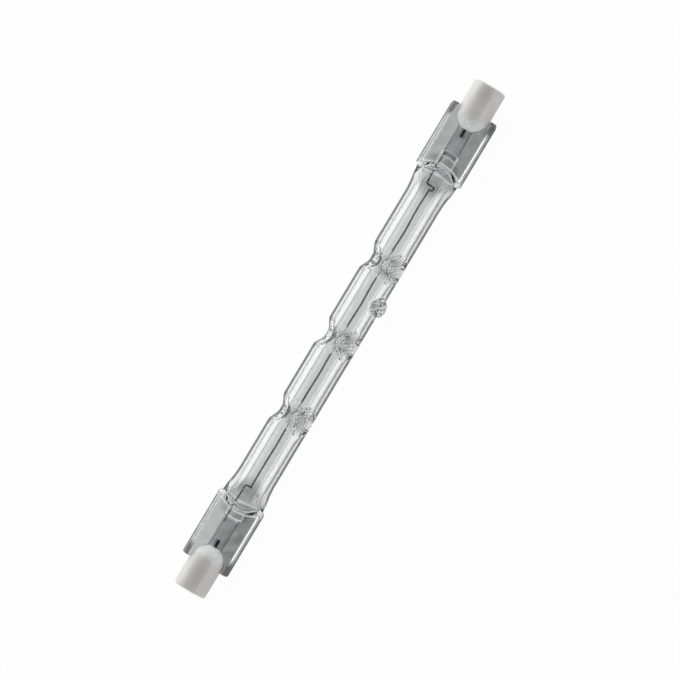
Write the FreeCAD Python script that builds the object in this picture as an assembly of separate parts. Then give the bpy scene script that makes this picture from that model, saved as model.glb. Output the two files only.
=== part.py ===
import FreeCAD, Part
import math
import os
from FreeCAD import Vector

# Linear halogen lamp with two recessed contacts, in millimetres.
# One clear quartz tube is dented in three waists, pinched flat at both ends and capped in white ceramic.
# The lamp is modelled about its own axis: X runs along it, Y across the pinch seals, Z square to them.
# At the end it is rolled about X until tube and seal rims lie on the surface z = 0.

# Standard length over the caps, and the depth of the contacts in them
overall_length = 117.6
recess_depth = 1.7

# Quartz tube
tube_diameter = 8.2
tube_wall = 0.95

# Flat pinch seal: a thin web between two thick side rims
seal_length = 14.3
seal_width = 10.5
web_thickness = 2.0
rim_width = 1.2
rim_thickness = 3.4
rim_round = 0.55

# Shoulder where the round tube runs into the seal, ending in a flattened dome on the web
shoulder_length = 6.0
dome_reach = 1.8
dome_inset = 0.25
dome_step = 0.3
dome_wall = 1.1
cavity_flare = 0.3
cavity_end_thickness = 0.9

# Raised pad left by the pinching jaws, on both faces of the web
pad_length = 2.0
pad_width = 3.5
pad_height = 0.15

# Waists: three rows of three dents, outside and inside
waist_pitch = 17.7
waist_shift = -0.35
dents_in_waist = 3
first_dent_turn = 10.0
dent_depth = 1.35
dent_floor_length = 2.4
dent_ramp_length = 2.3
dent_tool_radius = 5.0
dent_round = 0.8
passage_radius = 1.0
passage_floor_length = 1.6
passage_ramp_length = 2.6
passage_tool_radius = 3.4
dent_overrun = 0.2

# Exhaust tip, where the tube was filled and melted shut
tip_place = 9.2
tip_turn = 142.0
tip_height = 1.75
tip_base_diameter = 4.0
tip_end_diameter = 2.4
tip_void_diameter = 1.2
tip_void_end_diameter = 0.2
tip_void_reach = 0.5

# Sealing foil and the two wires welded to it
foil_setback = 3.6
foil_length = 9.0
foil_width = 2.9
foil_thickness = 0.05
weld_flat = 0.04
inner_lead_diameter = 0.4
inner_lead_offset = 1.2
inner_lead_bend = 0.4
inner_weld_length = 1.2
bar_overshoot = 0.25
hook_straight = 0.05
hook_overshoot = 0.75
outer_lead_diameter = 0.6
outer_weld_length = 4.0

# Filament: one wire, coiled in the four chambers and straight through the waists.
# The inner leads reach from the end of the cavity to its ends.
lead_reach = 4.55
coil_diameter = 0.6
leg_diameter = 0.22
leg_length = 5.6

# Ceramic cap with its slot, recess and contact
cap_diameter = 7.0
cap_length = 10.0
cap_overhang = 6.05
cap_edge_round = 0.45
nose_length = 1.8
nose_diameter = 3.6
cement_gap = 0.15
cement_bed = 0.25
lead_hole_clearance = 0.15
recess_diameter = 4.0
contact_diameter = 3.2
contact_thickness = 0.9
contact_edge_round = 0.2
contact_socket_depth = 0.5

# Places along the right half of the lamp
half_length = overall_length / 2
seal_outer = half_length - cap_overhang
seal_inner = seal_outer - seal_length
shoulder_start = seal_inner - shoulder_length
dome_end = seal_inner + dome_reach
cavity_end = dome_end - dome_wall
foil_inner = seal_inner + foil_setback
foil_outer = foil_inner + foil_length
cap_inner = half_length - cap_length
slot_end = seal_outer + cement_bed
contact_face = half_length - recess_depth
contact_back = contact_face - contact_thickness
lead_end = contact_back + contact_socket_depth
filament_end = cavity_end - lead_reach
waist_places = [waist_shift + step * waist_pitch for step in (-1, 0, 1)]

# Radii and heights
tube_radius = tube_diameter / 2
bore_radius = tube_radius - tube_wall
inner_lead_radius = inner_lead_diameter / 2
outer_lead_radius = outer_lead_diameter / 2
foil_top = weld_flat - inner_lead_radius
first_bar = filament_end + inner_lead_radius
hook_gap = 2 * inner_lead_bend + hook_straight

axis_x = Vector(1, 0, 0)
centre = Vector(0, 0, 0)
same_place = 1e-6
station_steps = (0.0, 0.25, 0.5, 0.7, 0.85, 0.95, 1.0)


def rod(start, end, radius, y=0.0):
    """Round rod along the lamp between two places."""
    return Part.makeCylinder(radius, end - start, Vector(start, y, 0), axis_x)


def slab(start, end, width, low, high, y=0.0):
    """Flat block along the lamp, centred on y."""
    return Part.makeBox(end - start, width, high - low, Vector(start, y - width / 2, low))


def oval(x, half_width, half_height):
    """Closed oval outline across the lamp, round where both halves are equal."""
    middle = Vector(x, 0, 0)
    if half_width > half_height:
        curve = Part.Ellipse(middle + Vector(0, half_width, 0), middle + Vector(0, 0, half_height), middle)
    else:
        curve = Part.Circle(middle, axis_x, half_width)
        curve.XAxis = Vector(0, 1, 0)
    return Part.Wire([curve.toShape()])


def flattened_shoulder(start, end, radius, end_half_width, end_half_height):
    """Round tube that widens across the seal while it closes down to a flat dome."""
    outlines = []
    for step in station_steps:
        half_width = radius + (end_half_width - radius) * step ** 2
        half_height = end_half_height + (radius - end_half_height) * math.sqrt(1 - step ** 3)
        outlines.append(oval(start + step * (end - start), half_width, half_height))
    return Part.makeLoft(outlines, True)


def mirrored(shape):
    """The same shape at the left end of the lamp."""
    return shape.mirror(centre, axis_x)


def ring_edges(shape, place):
    """Circular edges of a turned shape at one place along the lamp."""
    return [edge for edge in shape.Edges
            if isinstance(edge.Curve, Part.Circle) and abs(edge.CenterOfMass.x - place) < same_place]


def rim_bar(y):
    """Thick rounded rim along one edge of the seal."""
    bar = slab(seal_inner, seal_outer, rim_width, -rim_thickness / 2, rim_thickness / 2, y)
    outer_side = math.copysign(seal_width / 2, y)
    outer_edges = [edge for edge in bar.Edges
                   if abs(edge.CenterOfMass.y - outer_side) < same_place
                   and abs(edge.CenterOfMass.x - seal_outer) > same_place]
    return bar.makeFillet(rim_round, outer_edges)


def seal_plate():
    """Pinched flat end: web, two rims and the pad that the jaws leave on both faces."""
    web = slab(seal_inner, seal_outer, seal_width - rim_width, -web_thickness / 2, web_thickness / 2)
    rim_centre = (seal_width - rim_width) / 2
    pad_top = web_thickness / 2 + pad_height
    pad = slab(cavity_end, dome_end + pad_length, pad_width, -pad_top, pad_top)
    return web.multiFuse([rim_bar(rim_centre), rim_bar(-rim_centre), pad])


def dent_tool(place, nearest, depth, floor_length, ramp_length, tool_radius, turn):
    """Spool that presses in one dent: its waist comes within 'nearest' of the lamp's axis."""
    half_floor = floor_length / 2
    half_spool = half_floor + ramp_length * (depth + dent_overrun) / depth
    end_radius = tool_radius - depth - dent_overrun
    tool_axis = nearest + tool_radius
    profile = [(-half_spool, 0), (-half_spool, end_radius), (-half_floor, tool_radius),
               (half_floor, tool_radius), (half_spool, end_radius), (half_spool, 0)]
    points = [Vector(place + x, tool_axis - radius, 0) for x, radius in profile]
    face = Part.Face(Part.makePolygon(points + points[:1]))
    spool = face.revolve(Vector(place, tool_axis, 0), axis_x, 360)
    floor_edges = ring_edges(spool, place - half_floor) + ring_edges(spool, place + half_floor)
    spool = spool.makeFillet(dent_round, floor_edges)
    spool.rotate(centre, axis_x, turn)
    return spool


def waist_tools(nearest, depth, floor_length, ramp_length, tool_radius):
    """Spools for every dent of the lamp, spread evenly round each waist."""
    turns = [first_dent_turn + 360 / dents_in_waist * index for index in range(dents_in_waist)]
    return [dent_tool(place, nearest, depth, floor_length, ramp_length, tool_radius, turn)
            for place in waist_places for turn in turns]


def exhaust_tip():
    """Melted nipple on the tube, pointing along +Y before it is turned to its place."""
    outward = Vector(0, 1, 0)
    end_radius = tip_end_diameter / 2
    root = bore_radius + tube_wall / 2
    ball = tube_radius + tip_height - end_radius
    nipple = Part.makeCone(tip_base_diameter / 2, end_radius, ball - root,
                           Vector(tip_place, root, 0), outward)
    nipple = nipple.fuse(Part.makeSphere(end_radius, Vector(tip_place, ball, 0)))
    nipple.rotate(centre, axis_x, tip_turn)
    return nipple


def exhaust_void():
    """Tapered remnant of the filling tube's bore inside the tip."""
    root = bore_radius - tube_wall / 2
    end = tube_radius + tip_void_reach
    void = Part.makeCone(tip_void_diameter / 2, tip_void_end_diameter / 2, end - root,
                         Vector(tip_place, root, 0), Vector(0, 1, 0))
    void.rotate(centre, axis_x, tip_turn)
    return void


def quartz_outside():
    """Outer form of the envelope: tube, shoulders, seals, waists and exhaust tip."""
    shoulder = flattened_shoulder(shoulder_start, dome_end, tube_radius,
                                  seal_width / 2 - dome_inset, web_thickness / 2 + dome_step)
    plate = seal_plate()
    tube = rod(-shoulder_start, shoulder_start, tube_radius)
    body = tube.multiFuse([shoulder, mirrored(shoulder), plate, mirrored(plate)])
    tools = waist_tools(tube_radius - dent_depth, dent_depth, dent_floor_length,
                        dent_ramp_length, dent_tool_radius)
    return body.cut(tools).fuse(exhaust_tip())


def quartz_cavity():
    """Gas space inside the envelope, narrowed at each waist."""
    end_bore = flattened_shoulder(shoulder_start, cavity_end, bore_radius,
                                  bore_radius + cavity_flare, cavity_end_thickness / 2)
    bore = rod(-shoulder_start, shoulder_start, bore_radius)
    bore = bore.multiFuse([end_bore, mirrored(end_bore)])
    tools = waist_tools(passage_radius, bore_radius - passage_radius, passage_floor_length,
                        passage_ramp_length, passage_tool_radius)
    return bore.cut(tools).fuse(exhaust_void())


def seal_foil():
    """Thin molybdenum foil in the web of the seal."""
    return slab(foil_inner, foil_outer, foil_width, foil_top - foil_thickness, foil_top)


def flattened_on_foil(wire):
    """Wire with a weld flat where it lies on the foil."""
    return wire.cut(slab(foil_inner, foil_outer, foil_width, -outer_lead_diameter, foil_top))


def swept_wire(points, radius, bend):
    """Round wire through points in the plane of the seal, with an arc of the same bend at each corner."""
    edges = []
    last = points[0]
    for before, corner, after in zip(points, points[1:], points[2:]):
        into = (before - corner).normalize()
        out = (after - corner).normalize()
        half_angle = into.getAngle(out) / 2
        reach = bend / math.tan(half_angle)
        middle = (into + out).normalize() * (bend / math.sin(half_angle) - bend)
        edges.append(Part.LineSegment(last, corner + into * reach).toShape())
        edges.append(Part.Arc(corner + into * reach, corner + middle, corner + out * reach).toShape())
        last = corner + out * reach
    edges.append(Part.LineSegment(last, points[-1]).toShape())
    section = Part.Wire([Part.Circle(points[0], points[1] - points[0], radius).toShape()])
    return Part.Wire(edges).makePipeShell([section], True, False)


def inner_lead(hooked):
    """Wire from the foil into the tube, bent square across the filament's end, with or without a hook."""
    start = foil_inner + inner_weld_length
    if hooked:
        back_bar = first_bar + hook_gap
        points = [(start, inner_lead_offset), (back_bar, inner_lead_offset), (back_bar, -hook_overshoot),
                  (first_bar, -hook_overshoot), (first_bar, bar_overshoot)]
    else:
        points = [(start, inner_lead_offset), (first_bar, inner_lead_offset), (first_bar, -bar_overshoot)]
    path = [Vector(x, y, 0) for x, y in points]
    return flattened_on_foil(swept_wire(path, inner_lead_radius, inner_lead_bend))


def outer_lead():
    """Straight wire from the foil through the seal and the cap to the contact."""
    return flattened_on_foil(rod(foil_outer - outer_weld_length, lead_end, outer_lead_radius))


def filament(left_lead, right_lead):
    """Coil envelopes in the chambers, joined by straight legs and saddled on the two leads."""
    chamber_ends = [-first_bar]
    for place in waist_places:
        chamber_ends += [place - leg_length / 2, place + leg_length / 2]
    chamber_ends.append(first_bar)
    coils = [rod(start, end, coil_diameter / 2)
             for start, end in zip(chamber_ends[::2], chamber_ends[1::2])]
    leg = rod(chamber_ends[0], chamber_ends[-1], leg_diameter / 2)
    return leg.multiFuse(coils).cut([left_lead, right_lead])


def cap_outline():
    """Outer form of the ceramic cap: cylinder, tapered nose and rounded end."""
    nose_end = cap_inner + nose_length
    nose = Part.makeCone(nose_diameter / 2, cap_diameter / 2, nose_length, Vector(cap_inner, 0, 0), axis_x)
    barrel = rod(nose_end, half_length, cap_diameter / 2)
    barrel = barrel.makeFillet(cap_edge_round, ring_edges(barrel, half_length))
    return barrel.fuse(nose).removeSplitter()


def cap_slot():
    """Slot across the cap that takes the seal's web and the cement."""
    half_gap = web_thickness / 2 + cement_gap
    return slab(cap_inner, slot_end, cap_diameter, -half_gap, half_gap)


def ceramic_cap():
    """Steatite cap, slotted for the seal, bored for the lead and recessed for the contact."""
    lead_hole = rod(slot_end, contact_back, outer_lead_radius + lead_hole_clearance)
    seat = rod(contact_back, contact_face, contact_diameter / 2)
    recess = rod(contact_face, half_length, recess_diameter / 2)
    return cap_outline().cut([cap_slot(), lead_hole, seat, recess])


def cap_cement(plate, lead):
    """Cement that fills the slot round the web."""
    return cap_outline().common(cap_slot()).cut([plate, lead])


def contact_button():
    """Round contact seated flush with the floor of the recess, with a socket for the lead."""
    button = rod(contact_back, contact_face, contact_diameter / 2)
    button = button.makeFillet(contact_edge_round, ring_edges(button, contact_face))
    return button.cut(rod(contact_back, lead_end, outer_lead_radius))


def rest_roll():
    """Roll about X at which the tube and one rim of each seal touch the same flat surface."""
    across = seal_width / 2 - rim_round
    up = rim_thickness / 2 - rim_round
    reach = math.hypot(across, up)
    return math.degrees(math.asin((tube_radius - rim_round) / reach) - math.atan2(up, across))


def build():
    """All pieces of the lamp, by name, lying at rest."""
    foil = seal_foil()
    lead_out = outer_lead()
    lead_in_right = inner_lead(True)
    lead_in_left = mirrored(inner_lead(False))
    plate = seal_plate()
    embedded = [foil, mirrored(foil), lead_out, mirrored(lead_out), lead_in_right, lead_in_left]
    cap = ceramic_cap()
    cement = cap_cement(plate, lead_out)
    contact = contact_button()
    pieces = {
        "quartz_envelope": quartz_outside().cut(quartz_cavity()).cut(embedded),
        "filament": filament(lead_in_left, lead_in_right),
        "inner_lead_left": lead_in_left,
        "inner_lead_right": lead_in_right,
    }
    for name, shape in (("seal_foil", foil), ("outer_lead", lead_out), ("ceramic_cap", cap),
                        ("cap_cement", cement), ("contact", contact)):
        pieces[name + "_right"] = shape
        pieces[name + "_left"] = mirrored(shape)
    for shape in pieces.values():
        shape.rotate(centre, axis_x, rest_roll())
        shape.translate(Vector(0, 0, tube_radius))
    return pieces


os.makedirs("parts", exist_ok=True)
for name, shape in build().items():
    shape.exportStep("parts/" + name + ".step")
    box = shape.BoundBox
    print(name, shape.ShapeType, len(shape.Solids), shape.isValid(), round(shape.Volume, 3),
          [round(value, 3) for value in (box.XMin, box.XMax, box.YMin, box.YMax, box.ZMin, box.ZMax)])
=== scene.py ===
# %% [markdown]
# # A linear halogen lamp
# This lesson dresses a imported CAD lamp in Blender. The lamp is a clear quartz tube, dented in three
# waists, pinched flat at both ends and capped in white ceramic. The CAD frame gives every piece its
# place, so nothing is fitted here: each mesh is worked out in millimetres about the lamp's own axis
# and then laid down in the frame.

import math
import bmesh
import bpy
import numpy as np
from mathutils import Matrix, Vector


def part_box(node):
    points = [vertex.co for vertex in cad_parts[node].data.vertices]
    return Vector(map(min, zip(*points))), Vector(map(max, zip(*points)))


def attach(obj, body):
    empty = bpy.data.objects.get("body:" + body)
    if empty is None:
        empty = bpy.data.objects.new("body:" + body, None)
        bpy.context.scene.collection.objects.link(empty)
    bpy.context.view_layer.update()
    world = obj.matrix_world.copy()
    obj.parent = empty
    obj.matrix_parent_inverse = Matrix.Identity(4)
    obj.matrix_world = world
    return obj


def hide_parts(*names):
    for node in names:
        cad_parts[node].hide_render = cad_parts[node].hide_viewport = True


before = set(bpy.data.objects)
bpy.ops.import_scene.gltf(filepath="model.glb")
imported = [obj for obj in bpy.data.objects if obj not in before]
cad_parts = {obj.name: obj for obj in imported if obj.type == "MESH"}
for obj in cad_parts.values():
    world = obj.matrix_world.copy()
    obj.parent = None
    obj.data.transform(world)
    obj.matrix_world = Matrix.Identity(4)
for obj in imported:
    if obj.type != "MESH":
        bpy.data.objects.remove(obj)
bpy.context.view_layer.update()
scene = bpy.context.scene
scene.view_settings.view_transform = "Standard"
print("CAD nodes:", sorted(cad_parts))

# %% [markdown]
# The lamp lies rolled on the floor: its round tube and one rim of each flat seal touch it. The roll
# follows from the tube's radius and the seal's section, so four sizes give the whole turn. All later
# meshes use the same three directions: along the lamp, across the seals, and square to the seals.

# %% Sizes of the envelope and the way from millimetres to the frame
MM = 0.001
TUBE_RADIUS = 4.1
BORE_RADIUS = 3.15
SEAL_HALF_WIDTH = 5.25
RIM_HALF_HEIGHT = 1.7
RIM_ROUND = 0.55
WEB_HALF_HEIGHT = 1.0
SEAL_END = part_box("quartz_envelope")[1].x / MM

rim_across = SEAL_HALF_WIDTH - RIM_ROUND
rim_up = RIM_HALF_HEIGHT - RIM_ROUND
ROLL = math.asin((TUBE_RADIUS - RIM_ROUND) / math.hypot(rim_across, rim_up)) - math.atan2(rim_up, rim_across)
ALONG = Vector((1, 0, 0))
ACROSS = Vector((0, math.cos(ROLL), math.sin(ROLL)))
SQUARE = Vector((0, -math.sin(ROLL), math.cos(ROLL)))
AXIS_POINT = Vector((0, 0, TUBE_RADIUS * MM))


def lay_down(points):
    """Turns points in millimetres about the lamp's axis into points of the frame, in metres."""
    turn = np.array([ALONG, ACROSS, SQUARE])
    return np.asarray(points) @ turn * MM + np.array(AXIS_POINT)


print("roll of the lamp on the floor:", round(math.degrees(ROLL), 2), "degrees")

# %% [markdown]
# A node tree is easier to read when one short call adds a node, its settings and its links. Colours
# are written as the sRGB hex values that a picture editor shows, and one function makes them linear.

# %% Helpers for colours, nodes and meshes
def hex_colour(text):
    """Linear RGBA of an sRGB hex colour."""
    parts = [int(text[i:i + 2], 16) / 255 for i in (1, 3, 5)]
    return tuple(c / 12.92 if c <= 0.04045 else ((c + 0.055) / 1.055) ** 2.4 for c in parts) + (1.0,)


def add_node(tree, kind, inputs=None, **settings):
    """Adds a node. An input takes a value, another node's output, or a node for its first output."""
    node = tree.nodes.new(kind)
    for name, value in settings.items():
        setattr(node, name, value)
    for name, value in (inputs or {}).items():
        if isinstance(value, bpy.types.Node):
            value = value.outputs[0]
        if isinstance(value, bpy.types.NodeSocket):
            tree.links.new(value, node.inputs[name])
        else:
            node.inputs[name].default_value = value
    return node


def new_material(name):
    """An empty node material and its tree."""
    material = bpy.data.materials.new(name)
    material.use_nodes = True
    material.node_tree.nodes.clear()
    return material, material.node_tree


def new_piece(name, points, faces, material):
    """A smooth mesh object at the origin, with its place in its points."""
    mesh = bpy.data.meshes.new(name)
    mesh.from_pydata([tuple(point) for point in points], [], faces)
    mesh.shade_smooth()
    mesh.materials.append(material)
    piece = bpy.data.objects.new(name, mesh)
    scene.collection.objects.link(piece)
    return piece


print("mid grey #808080 is", round(hex_colour("#808080")[0], 3), "in linear light")

# %% [markdown]
# The camera looks square onto the flat seals, from high in front, and is turned so that the lamp
# runs up to the right. A long lens from far away keeps the lamp's two edges parallel.

# %% Camera
PICTURE_WIDTH_MM = 136.3
LENS_MM = 200.0
SENSOR_MM = 36.0
LAMP_RISE_DEG = 59.06
CENTRE_ABOVE_MM = 0.28

rise = math.radians(LAMP_RISE_DEG)
camera_right = ALONG * math.cos(rise) - ACROSS * math.sin(rise)
camera_up = ALONG * math.sin(rise) + ACROSS * math.cos(rise)
distance = PICTURE_WIDTH_MM * MM * LENS_MM / SENSOR_MM
camera_data = bpy.data.cameras.new("camera")
camera_data.lens = LENS_MM
camera_data.sensor_width = SENSOR_MM
camera = bpy.data.objects.new("camera", camera_data)
scene.collection.objects.link(camera)
turn = Matrix((camera_right, camera_up, SQUARE)).transposed().to_4x4()
stand = AXIS_POINT + SQUARE * distance - camera_up * CENTRE_ABOVE_MM * MM
camera.matrix_world = Matrix.Translation(stand) @ turn
camera_data.clip_end = 10 * distance
scene.camera = camera
print("camera stands", round(distance, 3), "m away")

# %% [markdown]
# The stage is a white sheet. It is a plain matt white, so the lamp keeps its shadow on it, and a share
# of what it shows comes from a white glow that only the camera, reflections and glass see. That glow
# lights nothing, so the lights can stay at a plain level.

# %% Floor
FLOOR_HALF = 3.0
FLOOR_GLOW = {"Is Camera Ray": 0.96, "Is Glossy Ray": 0.30, "Is Transmission Ray": 0.60}

# White paper, matt: a plain sheet that takes soft shadows.
floor_paper, tree = new_material("white_paper_sheet")
path = add_node(tree, "ShaderNodeLightPath")
share = None
for ray, amount in FLOOR_GLOW.items():
    part = add_node(tree, "ShaderNodeMath", {0: path.outputs[ray], 1: amount}, operation="MULTIPLY")
    if share:
        part = add_node(tree, "ShaderNodeMath", {0: share, 1: part}, operation="MAXIMUM")
    share = part
matt = add_node(tree, "ShaderNodeBsdfDiffuse", {"Color": hex_colour("#FAFAFA")})
glow = add_node(tree, "ShaderNodeEmission", {"Color": (1, 1, 1, 1), "Strength": 1.0})
mix = add_node(tree, "ShaderNodeMixShader", {0: share, 1: matt, 2: glow})
add_node(tree, "ShaderNodeOutputMaterial", {"Surface": mix})
corners = [(-FLOOR_HALF, -FLOOR_HALF, 0), (FLOOR_HALF, -FLOOR_HALF, 0),
           (FLOOR_HALF, FLOOR_HALF, 0), (-FLOOR_HALF, FLOOR_HALF, 0)]
floor = new_piece("floor", corners, [(0, 1, 2, 3)], floor_paper)
print("floor:", 2 * FLOOR_HALF, "m square")

# %% [markdown]
# Clear glass shows what stands around it. The sky is dark behind the camera, because the flat seals
# mirror exactly that part of it, and bright away from there.
# Four soft lights add to it: a high one behind and a low one in front for the two sides of the white
# caps, and one beyond each end for their noses. The end lights stay out of reflections, because their
# image would bleach the tube where it is seen from its ends.

# %% Sky
SKY_BRIGHT = 0.9
SKY_DARK = 0.01
PATCH_TILT_DEG = -6.0
PATCH_OUTSIDE = 0.02
PATCH_INSIDE = 0.70
GLASS_BOUNCES = 24
MIRROR_BOUNCES = 8

world = bpy.data.worlds.new("soft_sky")
world.use_nodes = True
scene.world = world
sky = world.node_tree
direction = add_node(sky, "ShaderNodeTexCoord")
patch_tilt = math.radians(PATCH_TILT_DEG)
patch_middle = SQUARE * math.cos(patch_tilt) - ACROSS * math.sin(patch_tilt)
towards = add_node(sky, "ShaderNodeVectorMath", {0: direction.outputs["Generated"], 1: patch_middle},
                   operation="DOT_PRODUCT")
level = add_node(sky, "ShaderNodeMapRange", {
    0: towards.outputs["Value"], 1: PATCH_OUTSIDE, 2: PATCH_INSIDE, 3: SKY_BRIGHT, 4: SKY_DARK},
    interpolation_type="SMOOTHSTEP")
sky.nodes["Background"].inputs["Color"].default_value = (1, 1, 1, 1)
sky.links.new(level.outputs[0], sky.nodes["Background"].inputs["Strength"])
scene.cycles.max_bounces = GLASS_BOUNCES
scene.cycles.transmission_bounces = GLASS_BOUNCES
scene.cycles.glossy_bounces = MIRROR_BOUNCES
print("sky from", SKY_DARK, "to", SKY_BRIGHT)

# %% Lights
LIGHT_AWAY = 1.0
LEAST_RISE = 0.1


def soft_light(name, direction, wide, high, floor_share):
    """A soft light aimed at the lamp, giving the floor that share of plain white."""
    direction = Vector(direction).normalized()
    data = bpy.data.lights.new(name, "AREA")
    data.shape = "RECTANGLE"
    data.size = wide
    data.size_y = high
    data.energy = floor_share * math.pi ** 2 * LIGHT_AWAY ** 2 / max(direction.z, LEAST_RISE)
    light = bpy.data.objects.new(name, data)
    scene.collection.objects.link(light)
    light.location = AXIS_POINT + direction * LIGHT_AWAY
    light.rotation_mode = "QUATERNION"
    light.rotation_quaternion = (-direction).to_track_quat("-Z", "Y")
    return light


soft_light("high_back_lamp", (0.25, 0.85, 0.66), wide=1.1, high=1.1, floor_share=0.38)
soft_light("low_front_lamp", (0.0, -0.97, 0.07), wide=1.0, high=0.4, floor_share=0.036)
for name, side in (("left_end_lamp", -1), ("right_end_lamp", 1)):
    end_light = soft_light(name, (0.99 * side, -0.05, 0.10), wide=0.8, high=0.8, floor_share=0.055)
    end_light.visible_glossy = False

# %% [markdown]
# The quartz envelope is one blown and pinched piece, so it is one closed mesh: an outer skin and the
# gas space inside it. Both are nets of rings along the lamp. A ring is round in the tube, pressed in
# by three tools at each waist, and turns into the dumb-bell section of the pinch seal at the ends.
# A net worked out by formula stays smooth, which matters more for glass than for any other material.
# Lengths are in millimetres. A pair of numbers is a stretch over which something rises or fades, and
# waves are given by their shortest length, their longest and their number.

# %% Smooth joins, pressed dents and ripples
RAMP_ROUND = 0.5
LEAST_TOOL = 0.01

rng = np.random.default_rng(7)


def smooth_step(low, high, value):
    """0 below a range and 1 above it, with a soft rise between."""
    share = np.clip((value - low) / (high - low), 0, 1)
    return share * share * (3 - 2 * share)


def fade(low, high, value):
    """1 below a range and 0 above it, with a soft fall between."""
    return 1 - smooth_step(low, high, value)


def smooth_max(a, b, width):
    """The larger of two heights, rounded over a width where they cross."""
    share = np.clip(0.5 + 0.5 * (a - b) / width, 0, 1)
    return b + (a - b) * share + width * share * (1 - share)


def smooth_min(a, b, width):
    """The smaller of two heights, rounded over a width where they cross."""
    return -smooth_max(-a, -b, width)


def turned_from(angle, turn):
    """How far an angle is turned from another, either way."""
    return (angle - turn + np.pi) % (2 * np.pi) - np.pi


def dent(x, angle, place, turn, nearest, depth, floor_length, ramp_length, tool_radius):
    """Distance from the lamp's axis to a round tool that presses in one dent."""
    beyond = smooth_max(np.abs(x - place) - floor_length / 2, 0, RAMP_ROUND)
    radius = np.maximum(tool_radius - beyond * depth / ramp_length, LEAST_TOOL)
    tool_axis = nearest + tool_radius
    off = turned_from(angle, turn)
    room = radius ** 2 - (tool_axis * np.sin(off)) ** 2
    reach = tool_axis * np.cos(off) - np.sqrt(np.maximum(room, 0))
    return np.where((room > 0) & (np.cos(off) > 0), reach, 2 * tool_axis)


def ripples(x, angle, radius, shortest, longest, count):
    """Seeded waves over a round surface, about 1 high, that close round the tube."""
    total = 0
    for _ in range(count):
        length = rng.uniform(shortest, longest)
        lean = rng.uniform(0, 2 * np.pi)
        turns = round(2 * np.pi * radius * math.cos(lean) / length)
        start = rng.uniform(0, 2 * np.pi)
        total = total + np.sin(2 * np.pi * x * math.sin(lean) / length + turns * angle + start)
    return total / math.sqrt(count)


print("equal heights join", smooth_max(0.0, 0.0, 0.4), "mm higher")

# %% Places along the envelope
WAIST_PLACES = [-18.05, -0.35, 17.35]
WAIST_REACH = 3.9
WAIST_FADE = (1.6, 4.2)
DENT_TURNS = [math.radians(degrees) for degrees in (3, 134, 250)]
DENT_SHIFT = 0.12
DENT_SWING = 0.05
DENT_LIFT = 0.08
SHOULDER_START = 32.45
DOME_END = 40.25
CAVITY_END = 39.15
TIP_PLACE = 9.2
TIP_REACH = 2.4
TIP_TURN = math.radians(142)
WIDER_FROM = 32.0
MARKED = (39.3, 43.6)
END_REACH = 0.6

dent_jitter = [[(rng.uniform(-DENT_SHIFT, DENT_SHIFT), rng.uniform(-DENT_SWING, DENT_SWING),
                 rng.uniform(0.0, DENT_LIFT)) for _ in DENT_TURNS] for _ in WAIST_PLACES]


def ring_places(end, plain, fine, finest):
    """Places of the rings from one end to the other, closer where the shape changes faster."""
    places = [-end]
    while places[-1] < end:
        x = places[-1]
        near = min(abs(x - place) for place in WAIST_PLACES)
        if near < WAIST_REACH or abs(x - TIP_PLACE) < TIP_REACH:
            step = fine
        elif MARKED[0] < abs(x) < MARKED[1] or abs(x) > SEAL_END - END_REACH:
            step = finest
        elif WIDER_FROM < abs(x) <= MARKED[0]:
            step = 2 * fine
        else:
            step = plain
        places.append(x + step)
    places = np.array(places)
    return (places - places[0]) / (places[-1] - places[0]) * 2 * end - end


def tube_radius_at(x, angle, radius, nearest, floor_length, ramp_length, tool_radius, edge):
    """Radius of the tube or its bore, pressed in at the waists."""
    result = radius + 0 * x * angle
    for place, jitters in zip(WAIST_PLACES, dent_jitter):
        for turn, (shift, swing, lift) in zip(DENT_TURNS, jitters):
            pressed = dent(x, angle, place + shift, turn + swing, nearest + lift, radius - nearest,
                           floor_length, ramp_length, tool_radius)
            result = smooth_min(result, pressed, edge)
    return result


def near_waist(x):
    """1 in the middle of a waist, fading to 0 beyond its ramps."""
    return sum(fade(*WAIST_FADE, np.abs(x - place)) for place in WAIST_PLACES)


print("waists at", WAIST_PLACES, "mm")

# %% [markdown]
# The ends were pinched flat while soft. A seal's section is a dumb-bell: a thin web between two oval
# rims. A quarter of it is worked out once as a row of points, and every ring in the seals takes its
# points from that row by their number, so the rims and the border of the pressed pad stay finely cut.

# %% Section of the pinch seals
RIM_HALF_WIDTH = 0.64
RIM_POWER = 2.3
RIM_STEPS = 27
FOOT_TURN = 0.12
FOOT_WIDTH = 0.2
FOOT_FIRST = 0.2
FOOT_STEPS = 6
PAD_HALF = 1.72
BORDER_STEP = 0.12
WEB_OUTSIDE = 2.1
OUTSIDE_STEPS = 8
WEB_INSIDE = 1.3
INSIDE_STEPS = 6


def seal_section():
    """Quarter of the section, from the middle of its side, over the rim, to the middle of its web."""
    turn = np.linspace(0, math.pi - math.asin(WEB_HALF_HEIGHT / RIM_HALF_HEIGHT) - FOOT_TURN, RIM_STEPS)
    wide = np.abs(np.cos(turn)) ** (2 / RIM_POWER) * np.sign(np.cos(turn))
    high = np.abs(np.sin(turn)) ** (2 / RIM_POWER)
    rim = np.stack([SEAL_HALF_WIDTH - RIM_HALF_WIDTH * (1 - wide), RIM_HALF_HEIGHT * high], axis=1)
    inner, top = rim[-1]
    drop = top - WEB_HALF_HEIGHT
    foot = [(inner - FOOT_WIDTH * (1 - math.cos(a)), top - drop * math.sin(a))
            for a in np.linspace(FOOT_FIRST, math.pi / 2, FOOT_STEPS)]
    outside = np.linspace(inner - FOOT_WIDTH, WEB_OUTSIDE, OUTSIDE_STEPS)
    border = [PAD_HALF + BORDER_STEP * step for step in (2, 1, 0, -1, -2)]
    inside = np.linspace(WEB_INSIDE, 0, INSIDE_STEPS)
    web = [(y, WEB_HALF_HEIGHT) for y in (*outside, *border, *inside)]
    return np.array([*rim, *foot, *web[1:]])


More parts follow.
